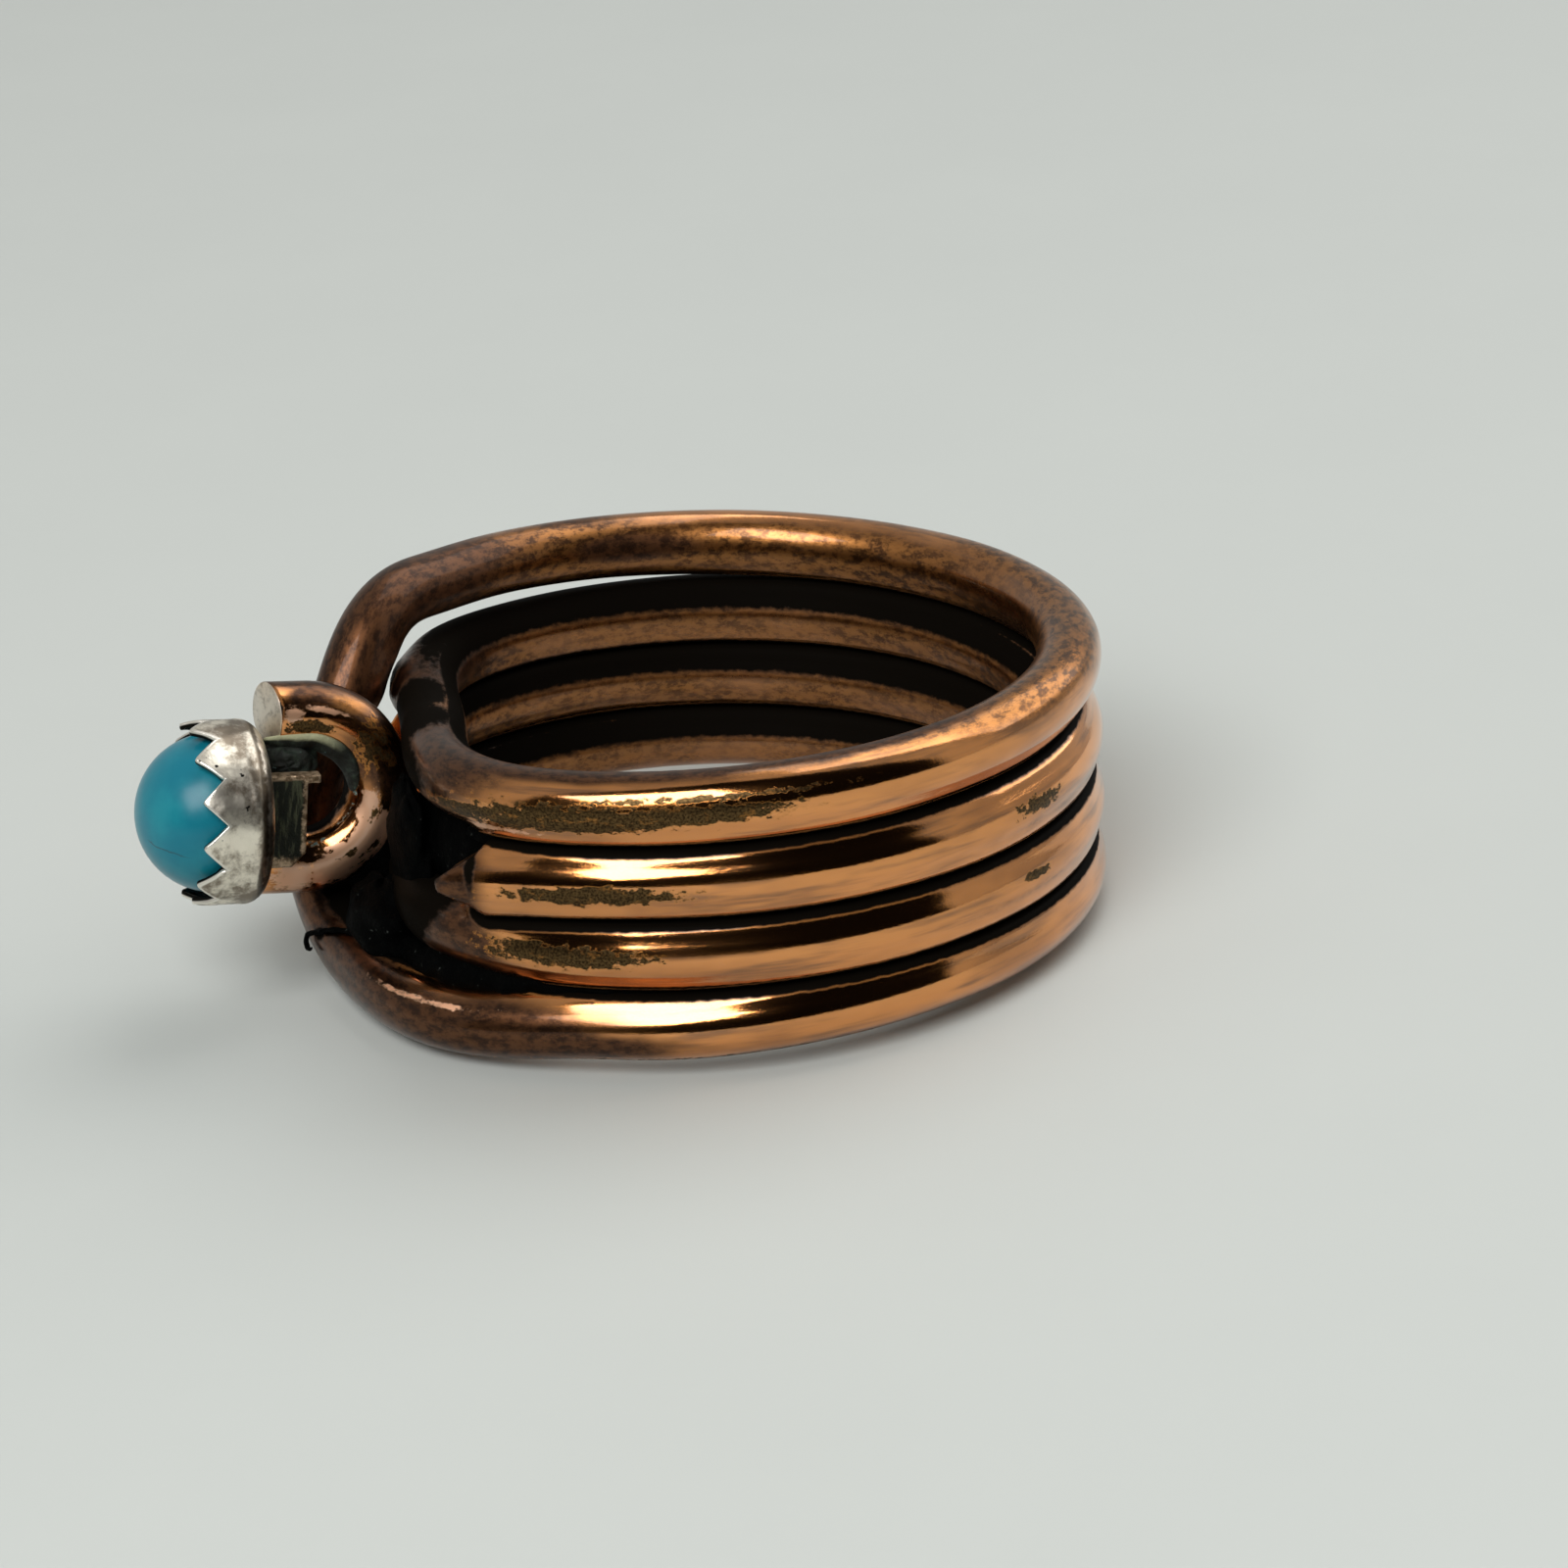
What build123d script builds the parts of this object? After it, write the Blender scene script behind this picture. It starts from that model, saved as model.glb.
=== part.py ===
from math import acos, asin, cos, degrees, pi, radians, sin, sqrt
import os

from build123d import *

# Driving dimensions, in millimetres and degrees

# copper wire, a plain round gauge, coiled by hand
wire_diameter = 2.05
coil_radius = 10.93
coil_gap = 0.27
coil_turns = 4
tip_chisel = 1.6
tip_edge = 0.15

# how far the inner strands are pressed flat behind the head
upper_dent = 2.05
lower_dent = 1.35
dent_turn = -11.0
dent_spread = 1.5

# where the coil stops short of the head, on each side of it, in its middle
near_end_turn = 64.0
far_end_turn = -37.0

# loop of the same wire behind the cup: its level in pitches, and how far the head points up
head_lift = 6.5
loop_radius = 2.38
loop_leg = 1.4
loop_offset = -1.85
loop_level = 2.246
loop_clearance = 0.02

# silver cup: its axis lies beside and below the middle of the loop
cup_offset = 0.87
cup_drop = 0.41
stone_diameter = 4.9
stone_straight = 1.0
stone_clearance = 0.05
cup_wall = 0.34
cup_plate = 0.35
cup_shoulder = 0.7
tooth_count = 12
tooth_turn = 10.0
tooth_length = 0.7
tooth_land = 0.1
cup_lip = 0.92

# upright tab that stands on the back of the plate, beside the loop
tab_offset = 0.35
tab_thick = 0.45
tab_reach = 1.3
tab_height = 2.95
tab_drop = 0.15
tab_point = 0.45
tab_lip = 0.4
lip_height = 0.25

seat_clearance = 0.05

# how the ring rests: its axis leans a little, as on the table
lean_back = -3.36
lean_side = -2.35
rest_height = 0.385

# Values that follow

wire_radius = wire_diameter / 2
coil_pitch = wire_diameter + coil_gap
stone_radius = stone_diameter / 2
cup_inner = stone_radius + stone_clearance
cup_outer = cup_inner + cup_wall
stone_base = cup_plate + stone_clearance
dome_level = stone_base + stone_straight
cup_reach = loop_leg + seat_clearance
middle_turn = coil_turns // 2
loop_height = loop_level * coil_pitch


def bow_reach(strand, dent):
    """How far out the loop's middle lies for its bow to clear one strand behind the head."""
    apart = loop_radius + wire_diameter + loop_clearance
    rise = strand * coil_pitch - loop_height
    return coil_radius - dent + sqrt(apart**2 - rise**2)


# the bow nests between the strands over and under the coil's middle
loop_reach = max(bow_reach(middle_turn + 1, upper_dent), bow_reach(middle_turn - 1, lower_dent))

ring_frame = Location((0, 0, rest_height), (lean_back, lean_side, 0))

# The strand that runs down the outside of the head, from the top turn to the bottom one.
# turn: degrees past the head; out: wire diameters outside the coil; up: pitches
crossing_rows = [
    {"turn": -50.0, "out": 0.00, "up": 3.91},
    {"turn": -42.0, "out": 0.07, "up": 3.92},
    {"turn": -34.5, "out": 0.22, "up": 3.69},
    {"turn": -29.0, "out": 0.39, "up": 3.21},
    {"turn": -25.3, "out": 0.59, "up": 2.63},
    {"turn": -22.9, "out": 0.86, "up": 2.01},
    {"turn": -20.6, "out": 1.01, "up": 1.37},
    {"turn": -17.3, "out": 0.93, "up": 0.77},
    {"turn": -12.1, "out": 0.75, "up": 0.31},
    {"turn": -5.4, "out": 0.57, "up": 0.06},
    {"turn": 2.2, "out": 0.47, "up": -0.03},
    {"turn": 10.0, "out": 0.45, "up": -0.04},
    {"turn": 17.7, "out": 0.46, "up": -0.04},
    {"turn": 25.5, "out": 0.45, "up": -0.03},
    {"turn": 33.0, "out": 0.35, "up": -0.01},
    {"turn": 41.0, "out": 0.20, "up": 0.04},
    {"turn": 49.0, "out": 0.07, "up": 0.10},
]
# The near cut end springs out of the coil a little and sags; columns as above
end_rows = [
    {"turn": 757.0, "out": 0.18, "up": 2.01},
    {"turn": 769.0, "out": 0.05, "up": 2.08},
]

# Hand coiling leaves the turns a little uneven. turn: degrees; lift: pitches off an even coil
uneven_rows = [
    {"turn": 63, "lift": -0.03},
    {"turn": 103, "lift": 0.08},
    {"turn": 163, "lift": 0.06},
    {"turn": 223, "lift": 0.05},
    {"turn": 403, "lift": 0.01},
    {"turn": 523, "lift": -0.02},
    {"turn": 643, "lift": 0.06},
    {"turn": 763, "lift": -0.03},
    {"turn": 883, "lift": -0.08},
    {"turn": 943, "lift": -0.01},
    {"turn": 1123, "lift": -0.07},
    {"turn": 1243, "lift": -0.01},
    {"turn": 1303, "lift": -0.04},
    {"turn": 1390, "lift": 0.04},
]

full_turn = 360
point_step = 15
crossing_margin = 14
arc_length = 1.6


def ring_point(turn, radius, height):
    """A point beside the ring's axis: turn 0 is the head, at the front, and turns grow to the right."""
    local = Vector(radius * sin(radians(turn)), -radius * cos(radians(turn)), height)
    return Plane(ring_frame).from_local_coords(local)


def strand_radius(turn, dent):
    """The coil's radius, less a smooth dent behind the head."""
    half_width = dent_spread * degrees(acos(1 - dent / coil_radius))
    away = (turn - dent_turn + full_turn / 2) % full_turn - full_turn / 2
    if abs(away) > half_width:
        return coil_radius
    return coil_radius - dent * cos(pi * away / (2 * half_width)) ** 2


def strand_height(turn):
    """The coil's height at a turn angle, with the unevenness between two rows shared out."""
    lift = 0
    for low, high in zip(uneven_rows, uneven_rows[1:]):
        if low["turn"] <= turn <= high["turn"]:
            share = (turn - low["turn"]) / (high["turn"] - low["turn"])
            lift = low["lift"] + share * (high["lift"] - low["lift"])
    return coil_pitch * (turn / full_turn + lift)


def coil_points(first, last, dent):
    """Points along the coil between two turn angles, evenly spaced."""
    count = round((last - first) / point_step)
    turns = [first + (last - first) * k / count for k in range(count + 1)]
    return [ring_point(t, strand_radius(t, dent), strand_height(t)) for t in turns]


def row_points(rows):
    """Points measured from the coil: a turn angle, wire diameters outward, and pitches up."""
    return [
        ring_point(row["turn"], coil_radius + row["out"] * wire_diameter, row["up"] * coil_pitch)
        for row in rows
    ]


def wire_points():
    """The whole wire, from its near cut end up the coil, down the crossing, and up to its far end."""
    middle = middle_turn * full_turn
    top = coil_turns * full_turn + crossing_rows[0]["turn"] - crossing_margin
    bottom = crossing_rows[-1]["turn"] + crossing_margin
    upper = coil_points(middle + near_end_turn, top, upper_dent)
    lower = coil_points(bottom, middle + far_end_turn, lower_dent)
    return row_points(end_rows) + upper + row_points(crossing_rows) + lower


def tangent_arcs(guide, spacing):
    """A chain of tangent arcs through points spaced evenly along a guide curve."""
    count = round(guide.length / spacing)
    points = [guide @ (k / count) for k in range(count + 1)]
    direction = guide % 0
    for start, end in zip(points, points[1:]):
        arc = TangentArc(start, end, tangent=direction)
        direction = arc % 1


# Coil wire

with BuildLine() as coil_path:
    wire_guide = Spline(*wire_points(), mode=Mode.PRIVATE)
    tangent_arcs(wire_guide, arc_length)

wire_path = coil_path.wires()[0]
start_direction = wire_path % 0
near_end = Plane(
    origin=wire_path @ 0, x_dir=start_direction.cross(Vector(0, 0, 1)), z_dir=start_direction
)

# side cutters leave a chisel edge on the near end
with BuildPart() as chisel_tip:
    with BuildSketch(near_end):
        Circle(wire_radius)
    extrude(amount=-tip_chisel)
    with BuildSketch(Plane(origin=near_end.origin, x_dir=near_end.z_dir, z_dir=near_end.x_dir)):
        with BuildLine():
            Polyline(
                (0, -wire_radius),
                (0, wire_radius),
                (-tip_chisel, tip_edge),
                (-tip_chisel, -tip_edge),
                close=True,
            )
        make_face()
    extrude(amount=wire_diameter, both=True, mode=Mode.INTERSECT)

with BuildPart() as coil_wire:
    with BuildSketch(near_end):
        Circle(wire_radius)
    sweep(path=wire_path)
    add(chisel_tip.part)

# Head: one frame in the middle of the loop, x outward, y up and z to the left

head_frame = ring_frame * Location(
    Plane(
        origin=(loop_offset, -loop_reach, loop_height),
        x_dir=(0, -cos(radians(head_lift)), sin(radians(head_lift))),
        z_dir=(-1, 0, 0),
    )
)

with BuildPart() as head_loop:
    with BuildLine(Plane(head_frame)) as loop_path:
        Line((loop_leg, loop_radius), (0, loop_radius))
        ThreePointArc((0, loop_radius), (-loop_radius, 0), (0, -loop_radius))
        Line((0, -loop_radius), (loop_leg, -loop_radius))
    loop_wire = loop_path.wires()[0]
    with BuildSketch(Plane(origin=loop_wire @ 0, z_dir=loop_wire % 0)):
        Circle(wire_radius)
    sweep(path=loop_wire)

# Silver cup: plate, wall, teeth and tab are one piece

cup_frame = head_frame * Location((cup_reach, -cup_drop, -cup_offset))
profile_plane = Plane(cup_frame)
cup_axis = Axis(profile_plane.origin, profile_plane.x_dir)
rim_level = dome_level + cup_lip
lean_outer = degrees(asin(cup_lip / cup_outer))
lean_inner = degrees(asin(cup_lip / cup_inner))

with BuildPart() as bezel_cup:
    with BuildSketch(profile_plane):
        with BuildLine():
            back = Line((0, 0), (0, cup_outer - cup_shoulder))
            shoulder = TangentArc(back @ 1, (cup_shoulder, cup_outer), tangent=(0, 1))
            side = Line(shoulder @ 1, (dome_level, cup_outer))
            outer = CenterArc((dome_level, 0), cup_outer, 90, -lean_outer)
            inner = CenterArc((dome_level, 0), cup_inner, 90, -lean_inner)
            Line(outer @ 1, inner @ 1)
            bore = Line(inner @ 0, (cup_plate, cup_inner))
            floor = Line(bore @ 1, (cup_plate, 0))
            Line(floor @ 1, (0, 0))
        make_face()
    revolve(axis=cup_axis)

    # notches between the teeth, all the way round
    notch_root = rim_level - tooth_length
    notch_top = rim_level + cup_wall
    notch_half = pi * cup_outer / tooth_count - tooth_land / 2
    widening = notch_half * (notch_top - notch_root) / tooth_length
    for tooth in range(tooth_count):
        turned = Location((0, 0, 0), (tooth_turn + full_turn * tooth / tooth_count, 0, 0))
        with BuildSketch(Plane(cup_frame * turned)):
            with BuildLine():
                Polyline((notch_root, 0), (notch_top, widening), (notch_top, -widening), close=True)
            make_face()
        extrude(amount=cup_outer + cup_wall, mode=Mode.SUBTRACT)

    # tab on the back of the plate, with a pointed foot and a small lip at its top
    tab_plane = Plane(cup_frame * Location((0, -tab_drop, -tab_offset)))
    tab_top = tab_height / 2
    with BuildSketch(tab_plane):
        with BuildLine():
            Polyline(
                (cup_plate / 2, tab_top),
                (-tab_reach - tab_lip, tab_top),
                (-tab_reach - tab_lip, tab_top - lip_height),
                (-tab_reach, tab_top - lip_height),
                (-tab_reach, tab_point - tab_top),
                (tab_point - tab_reach, -tab_top),
                (cup_plate / 2, -tab_top),
                close=True,
            )
        make_face()
    extrude(amount=-tab_thick)

# Stone: a round cabochon with a high dome

with BuildPart() as turquoise_stone:
    with BuildSketch(profile_plane):
        with BuildLine():
            base = Line((stone_base, 0), (stone_base, stone_radius))
            girdle = Line(base @ 1, (dome_level, stone_radius))
            dome = CenterArc((dome_level, 0), stone_radius, 90, -90)
            Line(dome @ 1, base @ 0)
        make_face()
    revolve(axis=cup_axis)

# Files

pieces = {
    "coil_wire": coil_wire,
    "head_loop": head_loop,
    "bezel_cup": bezel_cup,
    "turquoise_stone": turquoise_stone,
}
os.makedirs("parts", exist_ok=True)
for name, piece in pieces.items():
    piece.part.label = name
    export_step(piece.part, f"parts/{name}.step")

expected = wire_path.length * pi * wire_radius**2
print("wire length", wire_path.length, "sweep volume", expected, "with tip", coil_wire.part.volume)
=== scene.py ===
# %% [markdown]
# # A hand-coiled copper ring with a turquoise stone
#
# The object is a ring about 24 mm across, made of one length of round copper wire. It lies on
# its side on a pale table. A loop of the same wire carries a small silver cup, and the cup's
# teeth hold a domed turquoise. Every cell below makes one thing: first the frame and the
# camera, then the pieces, then their finishes, and last the floor and the light.
#
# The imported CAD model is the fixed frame. Each piece made here stands in the place of one of
# its nodes, so the sizes below are the CAD model's own, in millimetres.

# %% Load the fixed frame
import bpy
import numpy as np
from mathutils import Matrix


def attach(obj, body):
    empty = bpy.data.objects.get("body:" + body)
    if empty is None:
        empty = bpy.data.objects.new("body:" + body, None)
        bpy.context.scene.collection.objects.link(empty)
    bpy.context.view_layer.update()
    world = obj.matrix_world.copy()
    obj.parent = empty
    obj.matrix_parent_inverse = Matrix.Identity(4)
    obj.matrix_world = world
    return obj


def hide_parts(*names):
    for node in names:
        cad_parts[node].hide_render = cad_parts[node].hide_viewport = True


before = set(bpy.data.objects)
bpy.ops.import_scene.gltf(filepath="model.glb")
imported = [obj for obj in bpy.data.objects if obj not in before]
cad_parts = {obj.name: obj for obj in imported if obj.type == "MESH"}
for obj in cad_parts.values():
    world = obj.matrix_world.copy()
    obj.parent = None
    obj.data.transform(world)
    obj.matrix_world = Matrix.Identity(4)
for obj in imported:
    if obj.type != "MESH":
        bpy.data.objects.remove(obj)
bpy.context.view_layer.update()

print("CAD nodes:", sorted(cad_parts))

# %% [markdown]
# ## Where the ring lies
#
# A ring on a table rests on its lowest wire, with its axis leaning a few degrees. It could be
# modelled upright and turned afterwards, but an object here stays unturned, so the lean is
# worked into every point instead: one small matrix takes a point beside the ring's axis to its
# place on the table.

# %% The ring's own axes
mm = 0.001
lean_back = -3.36
lean_side = -2.35
rest_height = 0.385


def turn_about(axis, degrees_turned):
    """The 3 by 3 matrix that turns points about x, y or z by an angle in degrees."""
    return np.array(Matrix.Rotation(np.radians(degrees_turned), 3, axis))


ring_axes = turn_about("X", lean_back) @ turn_about("Y", lean_side)
ring_place = np.array([0, 0, rest_height])


def on_table(points):
    """Points beside the ring's axis, in mm, taken to the table: turned by the lean, then lifted."""
    return points @ ring_axes.T + ring_place


print("the ring's axis points to", np.round(ring_axes[:, 2], 3))

# %% [markdown]
# ## The camera
#
# The photograph was taken from about 145 mm away with a long lens, from 20 degrees above the
# table and with the camera rolled a little. The numbers here were found by fitting a pinhole
# camera to the ring's outline. The head of the ring lies to the left, so the camera stands 73
# degrees round from it.

# %% Camera
camera_place = np.array([1.924, -135.056, 52.896])
camera_height = 19.963
camera_roll = -2.804
head_turned = 73.0
lift_of_view = 0.043
lens = 105.28
film_width = 36.0

tilt, roll = np.radians(camera_height), np.radians(camera_roll)
back = np.array([0, -np.cos(tilt), np.sin(tilt)])
above = np.array([0, np.sin(tilt), np.cos(tilt)])
right = np.array([1.0, 0, 0])
view_axes = np.column_stack([
    right * np.cos(roll) + above * np.sin(roll),
    above * np.cos(roll) - right * np.sin(roll),
    back,
])
to_ring = turn_about("Z", head_turned)
camera_axes = ring_axes @ to_ring @ view_axes
camera_point = on_table(to_ring @ (camera_place - [0, 0, lift_of_view]))


def new_object(name, data):
    """A new object in the scene."""
    made = bpy.data.objects.new(name, data)
    bpy.context.scene.collection.objects.link(made)
    return made


def placed(axes, place):
    """The matrix of an object at a place in metres, its own x, y and z being the axes' columns."""
    return Matrix([*np.column_stack([axes, place]).tolist(), [0, 0, 0, 1]])


camera_data = bpy.data.cameras.new("camera")
camera_data.lens = lens
camera_data.sensor_width = film_width
camera_data.clip_start = 0.01
camera = new_object("camera", camera_data)
camera.matrix_world = placed(camera_axes, camera_point * mm)
bpy.context.scene.camera = camera
print("camera at", np.round(camera_point, 1), "mm, lens", lens, "mm")

# %% [markdown]
# ## From a grid of points to a closed mesh
#
# Every piece below is a grid: one direction runs along it, the other runs round it. A helper
# joins neighbours of the grid with quads, closes the seam, and closes each end with a single
# pole point. It also measures the volume inside, which is negative when the faces point
# inwards, and turns them round if so.

# %% Grid helper


def grid_faces(rows, columns):
    """Quads between neighbouring rows of a grid whose columns close on themselves, and a pole at
    each end: pole numbers follow the grid's own points."""
    corner = np.arange(rows * columns).reshape(rows, columns)
    beside = np.roll(corner, -1, axis=1)
    quads = np.stack([corner[:-1], corner[1:], beside[1:], beside[:-1]], axis=-1).reshape(-1, 4)
    first_pole = np.full(columns, rows * columns)
    last_pole = first_pole + 1
    starts = np.stack([first_pole, corner[0], beside[0]], axis=-1)
    ends = np.stack([last_pole, beside[-1], corner[-1]], axis=-1)
    return quads, np.concatenate([starts, ends])


def volume_inside(points, triangles):
    """A sixth of the sum of each triangle's corners' triple product, positive for outward faces."""
    a, b, c = (points[triangles[:, k]] for k in range(3))
    return (a * np.cross(b, c)).sum() / 6


def closed_piece(name, taken_to, grid, poles, marks=None):
    """A closed mesh from a grid of points (rows, columns, 3) and its two pole points, in mm, taken
    to their place. marks are values for the points, kept as attributes for the material."""
    points = np.concatenate([taken_to(grid).reshape(-1, 3), taken_to(poles)])
    quads, triangles = grid_faces(*grid.shape[:2])
    split = np.concatenate([quads[:, :3], quads[:, [0, 2, 3]], triangles])
    volume = volume_inside(points, split)
    if volume < 0:
        quads, triangles = quads[:, ::-1], triangles[:, ::-1]
    mesh = bpy.data.meshes.new(name)
    mesh.from_pydata((points * mm).tolist(), [], quads.tolist() + triangles.tolist())
    for mark, values in (marks or {}).items():
        kind, field = ("FLOAT_VECTOR", "vector") if values.ndim == 2 else ("FLOAT", "value")
        layer = mesh.attributes.new(mark, kind, "POINT")
        layer.data.foreach_set(field, values.astype(np.float32).ravel())
    mesh.shade_smooth()
    mesh.update()
    print(f"{name}: {len(split)} triangles, {abs(volume):.2f} mm3")
    return new_object(name, mesh)


print("a grid of 3 by 4 points has", len(grid_faces(3, 4)[0]), "quads, and 4 triangles a pole")

# %% [markdown]
# ## The wire's path
#
# The maker wound the wire round a mandrel for about four turns and pressed the inner strands
# flat behind the head. The top strand then comes down over the outside of the head and goes on
# as the lowest turn, which binds everything together. Both cut ends are tucked into the middle
# of the coil.
#
# A curve object with a bevel could carry a round wire, but the finish needs to know where on
# the wire each point is, so the path is worked out as points. The rows say where the wire
# passes, a smooth spline joins them, and it is read again at even steps.

# %% Sizes of the coil
wire_diameter = 2.05
wire_radius = wire_diameter / 2
coil_radius = 10.93
coil_gap = 0.27
coil_pitch = wire_diameter + coil_gap
coil_turns = 4
middle_turn = coil_turns // 2
full_turn = 360

upper_dent = 2.05
lower_dent = 1.35
dent_turn = -11
dent_spread = 1.5
near_end_turn = 64
far_end_turn = -37

# degrees past the head, wire diameters outside the coil, pitches up
crossing_rows = np.array([
    (-50, 0, 3.91), (-42, 0.07, 3.92), (-34.5, 0.22, 3.69), (-29, 0.39, 3.21),
    (-25.3, 0.59, 2.63), (-22.9, 0.86, 2.01), (-20.6, 1.01, 1.37), (-17.3, 0.93, 0.77),
    (-12.1, 0.75, 0.31), (-5.4, 0.57, 0.06), (2.2, 0.47, -0.03), (10, 0.45, -0.04),
    (17.7, 0.46, -0.04), (25.5, 0.45, -0.03), (33, 0.35, -0.01), (41, 0.2, 0.04),
    (49, 0.07, 0.1),
])
end_rows = np.array([(757, 0.18, 2.01), (769, 0.05, 2.08)])
# turn in degrees, and how many pitches the hand-wound coil lies off an even one there
uneven_rows = np.array([
    (63, -0.03), (103, 0.08), (163, 0.06), (223, 0.05), (403, 0.01), (523, -0.02), (643, 0.06),
    (763, -0.03), (883, -0.08), (943, -0.01), (1123, -0.07), (1243, -0.01), (1303, -0.04),
    (1390, 0.04),
])
print("one turn of the coil rises", round(coil_pitch, 2), "mm")

# %% Points that the wire passes
point_step = 15
crossing_margin = 14


def beside_axis(turn, radius, height):
    """Points at a turn angle, radius and height: x is r sin t, y is -r cos t, z is the height."""
    angle = np.radians(turn)
    return np.stack([radius * np.sin(angle), -radius * np.cos(angle), height + 0 * angle], axis=-1)


def nearest(angle, whole):
    """An angle less whole turns, so that it lies within half a turn of nought."""
    return (angle + whole / 2) % whole - whole / 2


def coil_points(first, last, dent):
    """The coil between two turn angles. Its radius loses a cosine-squared dent behind the head,
    and its height grows a pitch a turn, plus the unevenness shared out between two rows."""
    turn = np.linspace(first, last, round((last - first) / point_step) + 1)
    half_width = dent_spread * np.degrees(np.arccos(1 - dent / coil_radius))
    away = nearest(turn - dent_turn, full_turn)
    pressed = np.where(abs(away) < half_width, np.cos(np.pi * away / (2 * half_width)) ** 2, 0)
    lift = np.interp(turn, uneven_rows[:, 0], uneven_rows[:, 1], left=0, right=0)
    return beside_axis(turn, coil_radius - dent * pressed, coil_pitch * (turn / full_turn + lift))


def row_points(rows):
    """Rows of turn, wire diameters outside the coil and pitches up, as points."""
    turn, out, up = rows.T
    return beside_axis(turn, coil_radius + out * wire_diameter, up * coil_pitch)


top = coil_turns * full_turn + crossing_rows[0, 0] - crossing_margin
bottom = crossing_rows[-1, 0] + crossing_margin
middle = middle_turn * full_turn
passed = np.concatenate([
    row_points(end_rows),
    coil_points(middle + near_end_turn, top, upper_dent),
    row_points(crossing_rows),
    coil_points(bottom, middle + far_end_turn, lower_dent),
])
print(len(passed), "points, up to", passed[:, 2].max().round(2), "mm high")

# %% Smooth path through them
path_step = 0.23
fine_step = 0.02


def lengths_along(points):
    """The length of a line of points up to each of them."""
    return np.concatenate([[0], np.cumsum(np.linalg.norm(np.diff(points, axis=0), axis=1))])


def read_at(wanted, places, values):
    """Values given at places along something, read at the wanted places in between."""
    return np.stack([np.interp(wanted, places, column) for column in values.T], axis=-1)


def smooth_path(points, step):
    """A natural cubic spline over chord length: the second derivatives solve the usual
    three-term equations, and the curve is read again at even steps of its own length."""
    chord = np.linalg.norm(np.diff(points, axis=0), axis=1)
    place = lengths_along(points)
    count = len(points)
    terms = np.eye(count)
    inner = np.arange(1, count - 1)
    terms[inner, inner - 1] = chord[:-1] / 6
    terms[inner, inner] = (chord[:-1] + chord[1:]) / 3
    terms[inner, inner + 1] = chord[1:] / 6
    slopes = np.diff(points, axis=0) / chord[:, None]
    bends = np.zeros_like(points)
    bends[1:-1] = np.diff(slopes, axis=0)
    bends = np.linalg.solve(terms, bends)

    at = np.arange(0, place[-1], fine_step)
    span = np.clip(np.searchsorted(place, at, side="right") - 1, 0, count - 2)
    width = chord[span][:, None]
    left = (place[span + 1] - at)[:, None] / width
    ahead = 1 - left
    curve = left * points[span] + ahead * points[span + 1]
    curve += ((left**3 - left) * bends[span] + (ahead**3 - ahead) * bends[span + 1]) * width**2 / 6

    length = lengths_along(curve)
    even = np.linspace(0, length[-1], round(length[-1] / step) + 1)
    return even, read_at(even, length, curve)


wire_along, wire_line = smooth_path(passed, path_step)
print(f"the wire is {wire_along[-1]:.1f} mm long")

# %% [markdown]
# ## The wire itself
#
# Round wire is a circle carried along the path. The circle needs two directions at each step:
# one outwards from the ring's axis, one upwards, both square to the path. Measured that way,
# the angle round the wire means the same thing everywhere: 0 is the ring's outer side, 90 its
# top. Hand-drawn wire isn't perfect, so its radius wavers by a hundredth of a millimetre, with
# a few sine waves of long, unrelated lengths.

# %% Tube helper
round_count = 54
waver = 0.016
shortest_wave = 2.5
longest_wave = 9.0


def unit(vectors):
    """Vectors divided by their own lengths."""
    return vectors / np.linalg.norm(vectors, axis=-1, keepdims=True)


def tube_directions(line, outwards):
    """Tangents of a line, the outward direction square to them, and the third direction."""
    tangent = unit(np.gradient(line, axis=0))
    out = unit(outwards - (outwards * tangent).sum(-1, keepdims=True) * tangent)
    return tangent, out, np.cross(out, tangent)


def circle(count):
    """Even angles once round."""
    return np.linspace(0, 2 * np.pi, count, endpoint=False)


def wavering(along, angle, seed):
    """A sum of six sine waves over length and angle, each of its own seeded length and start."""
    chance = np.random.default_rng(seed)
    total = np.zeros(np.broadcast(along, angle).shape)
    for lobes in (0, 1, 1, 2, 2, 3):
        wave = chance.uniform(shortest_wave, longest_wave)
        start, turned = chance.uniform(0, 2 * np.pi, 2)
        total += np.sin(2 * np.pi * along / wave + start) * np.cos(lobes * angle + turned)
    return total / 6


def drawn_wire(along, shrink, seed):
    """The wire's radius at each point: it wavers a little, and shrinks at broken edges."""
    return (wire_radius - waver + waver * wavering(along[:, None], around, seed)) * shrink[:, None]


def tube_grid(line, out, up, across, rise):
    """Points round a line: the line, plus `across` along the outward and `rise` along the third
    direction, for every angle."""
    return line[:, None] + across[..., None] * out[:, None] + rise[..., None] * up[:, None]


around = circle(round_count)
print("one step round the wire is", round(wire_radius * around[1], 3), "mm")

# %% [markdown]
# ## The cut ends
#
# Side cutters pinch the wire off from above and below, which leaves a chisel shape: two flat
# facets that meet in a blunt edge. The end could be cut with a boolean, but in a grid it is
# simpler: over the last part of the wire the height of each circle is held within a wedge. The
# other end is cut square, with its edge just broken.

# %% Coil wire
tip_chisel = 1.6
tip_edge = 0.15
tip_rows = 14
tip_size = 0.9
edge_round = 0.06

tangent, out, up = tube_directions(wire_line, wire_line * [1, 1, 0])
behind = np.linspace(tip_chisel, 0, tip_rows, endpoint=False)
tip_height = tip_edge + (wire_radius - tip_edge) * (1 - behind / tip_chisel)
# the square end closes over two short rows and its pole
closing = np.array([0.985, 0.93])
reach = np.array([edge_round * 0.6, edge_round])

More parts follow.
